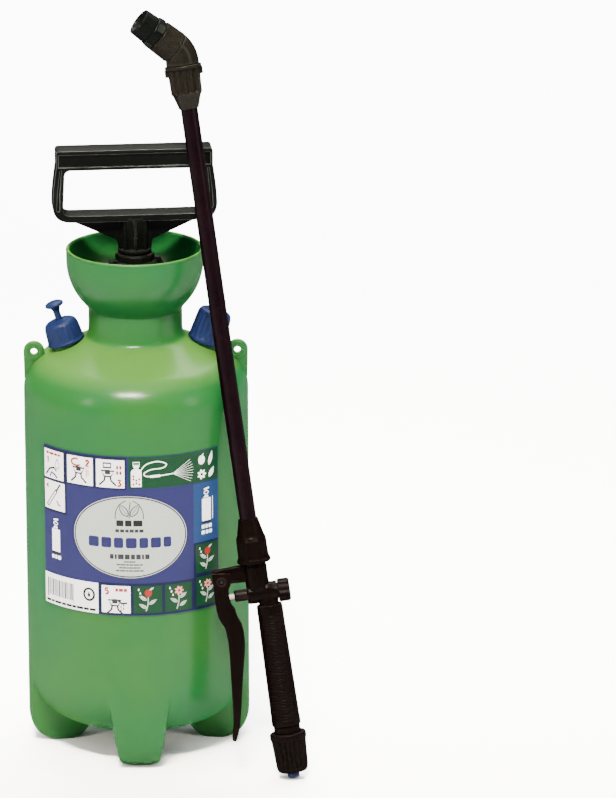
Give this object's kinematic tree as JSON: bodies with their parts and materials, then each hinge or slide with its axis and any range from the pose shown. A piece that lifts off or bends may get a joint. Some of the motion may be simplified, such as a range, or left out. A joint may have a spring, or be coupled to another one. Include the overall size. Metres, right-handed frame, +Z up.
{
  "type": "pump sprayer",
  "caption": "Hand-pumped pressure sprayer: tank on four feet with funnel mouth, D-handle pump, relief valve and hose outlet, and a trigger lance leaning on it.",
  "frame": {"origin": "centre of the whole object's footprint on the floor, with the tank's axis at x -0.0224, y 0.0131", "axes": "+Z up along the tank, -Y towards the label's side, +X towards the lance"},
  "size_m": [0.2243, 0.2056, 0.6118],
  "materials": {
    "green_plastic": "semi-gloss moulded green polyethylene",
    "printed_label": "printed film in blue, green and cream",
    "black_plastic": "satin black moulded plastic",
    "brown_black_plastic": "satin brown-black moulded plastic",
    "grey_plastic": "matt grey-brown knurled plastic",
    "blue_plastic": "semi-gloss blue moulded plastic",
    "natural_plastic": "natural translucent-white plastic",
    "black_rubber": "matt black rubber",
    "spring_steel": "bright drawn steel wire"
  },
  "bodies": {
    "tank": {"tank": "green_plastic", "label": "printed_label", "pump_gasket": "black_rubber", "relief_seat": "natural_plastic", "outlet_gasket": "black_rubber", "outlet_tail": "blue_plastic", "dip_tube": "natural_plastic", "dip_filter": "natural_plastic"},
    "pump_barrel": {"pump_cylinder": "natural_plastic", "rod_guide": "black_plastic", "check_valve": "black_rubber"},
    "pump_nut": {"pump_nut": "black_plastic"},
    "piston": {"piston_seal": "black_rubber"},
    "handle": {"pump_handle": "black_plastic", "piston_rod": "natural_plastic", "piston_head": "natural_plastic", "rod_pin": "spring_steel"},
    "relief_cap": {"relief_cap": "blue_plastic", "relief_spring": "spring_steel"},
    "relief_stem": {"relief_stem": "blue_plastic", "relief_seal": "black_rubber"},
    "outlet_nut": {"outlet_nut": "blue_plastic"},
    "lance": {"valve_body": "brown_black_plastic", "grip_sleeve": "brown_black_plastic", "grip_filter": "natural_plastic", "hose_tail": "blue_plastic", "hose_gasket": "black_rubber", "lever_pin": "spring_steel", "stem_gland": "brown_black_plastic", "valve_spring": "spring_steel", "lance_tube": "brown_black_plastic"},
    "hose_nut": {"hose_nut": "brown_black_plastic"},
    "trigger": {"lever": "brown_black_plastic"},
    "valve_stem": {"valve_stem": "natural_plastic", "valve_seal": "black_rubber"},
    "valve_cap": {"valve_cap": "brown_black_plastic"},
    "lance_nut": {"lance_nut": "brown_black_plastic"},
    "head_nut": {"head_nut": "black_plastic"},
    "elbow": {"elbow": "black_plastic", "elbow_o_ring": "black_rubber", "nozzle_collar": "black_plastic", "swirl_core": "natural_plastic"},
    "nozzle_ring": {"nozzle_ring": "grey_plastic"},
    "nozzle_tip": {"nozzle_tip": "black_plastic"}
  },
  "joints": [
    {"name": "pump_lift", "type": "slide", "parent": "tank", "child": "pump_barrel", "axis": [0, 0, 1], "range_m": [0, 0.14]},
    {"name": "pump_nut_turn", "type": "hinge", "parent": "pump_barrel", "child": "pump_nut", "pos_m": [-0.0224, 0.0131, 0.38], "axis": [0, 0, 1], "continuous": true},
    {"name": "pump_stroke", "type": "slide", "parent": "pump_barrel", "child": "piston", "axis": [0, 0, 1], "range_m": [0, 0.14]},
    {"name": "handle_turn", "type": "hinge", "parent": "piston", "child": "handle", "pos_m": [-0.0224, 0.0131, 0.424], "axis": [0, 0, 1], "range_deg": [0, 90]},
    {"name": "relief_cap_turn", "type": "hinge", "parent": "tank", "child": "relief_cap", "pos_m": [-0.0773, 0.0131, 0.33434], "axis": [-0.2924, 0, 0.9563], "continuous": true},
    {"name": "relief_pull", "type": "slide", "parent": "relief_cap", "child": "relief_stem", "axis": [-0.2924, 0, 0.9563], "range_m": [0, 0.004], "stiffness_N_per_m": 400, "springref_m": -0.003, "deforming": ["relief_spring"]},
    {"name": "outlet_nut_turn", "type": "hinge", "parent": "tank", "child": "outlet_nut", "pos_m": [0.0336, 0.0131, 0.33392], "axis": [0.309, 0, 0.9511], "continuous": true},
    {"name": "lance_lift", "type": "slide", "parent": "tank", "child": "lance", "axis": [0.5484, -0.4288, 0.7179], "range_m": [0, 0.3]},
    {"name": "hose_nut_turn", "type": "hinge", "parent": "lance", "child": "hose_nut", "pos_m": [0.08732, -0.07744, 0.09928], "axis": [-0.1331, 0.1403, 0.9811], "continuous": true},
    {"name": "trigger_pull", "type": "hinge", "parent": "lance", "child": "trigger", "pos_m": [0.04368, -0.06877, 0.1599], "axis": [0, -0.9899, 0.1416], "range_deg": [0, 10], "stiffness_Nm_per_rad": 1.2, "springref_deg": -4.58, "deforming": ["valve_spring"]},
    {"name": "valve_stem_push", "type": "slide", "parent": "lance", "child": "valve_stem", "axis": [0.9911, 0.0188, 0.1318], "range_m": [0, 0.0026]},
    {"name": "valve_cap_turn", "type": "hinge", "parent": "lance", "child": "valve_cap", "pos_m": [0.0734, -0.0702, 0.14987], "axis": [0.9911, 0.0188, 0.1318], "continuous": true},
    {"name": "lance_nut_turn", "type": "hinge", "parent": "lance", "child": "lance_nut", "pos_m": [0.05376, -0.04951, 0.29458], "axis": [-0.1331, 0.1403, 0.9811], "continuous": true},
    {"name": "head_nut_turn", "type": "hinge", "parent": "lance", "child": "head_nut", "pos_m": [0.01914, -0.01303, 0.54968], "axis": [-0.1331, 0.1403, 0.9811], "continuous": true},
    {"name": "elbow_turn", "type": "hinge", "parent": "lance", "child": "elbow", "pos_m": [0.01541, -0.0091, 0.57715], "axis": [-0.1331, 0.1403, 0.9811], "continuous": true},
    {"name": "nozzle_ring_turn", "type": "hinge", "parent": "elbow", "child": "nozzle_ring", "pos_m": [0.01541, -0.0091, 0.57715], "axis": [-0.7778, -0.1119, 0.6185], "continuous": true},
    {"name": "nozzle_turn", "type": "hinge", "parent": "elbow", "child": "nozzle_tip", "pos_m": [0.01541, -0.0091, 0.57715], "axis": [-0.7778, -0.1119, 0.6185], "continuous": true}
  ],
  "couplings": [
    {"joint": "valve_stem_push", "follows": "trigger_pull", "m_per_rad": 0.0146}
  ]
}
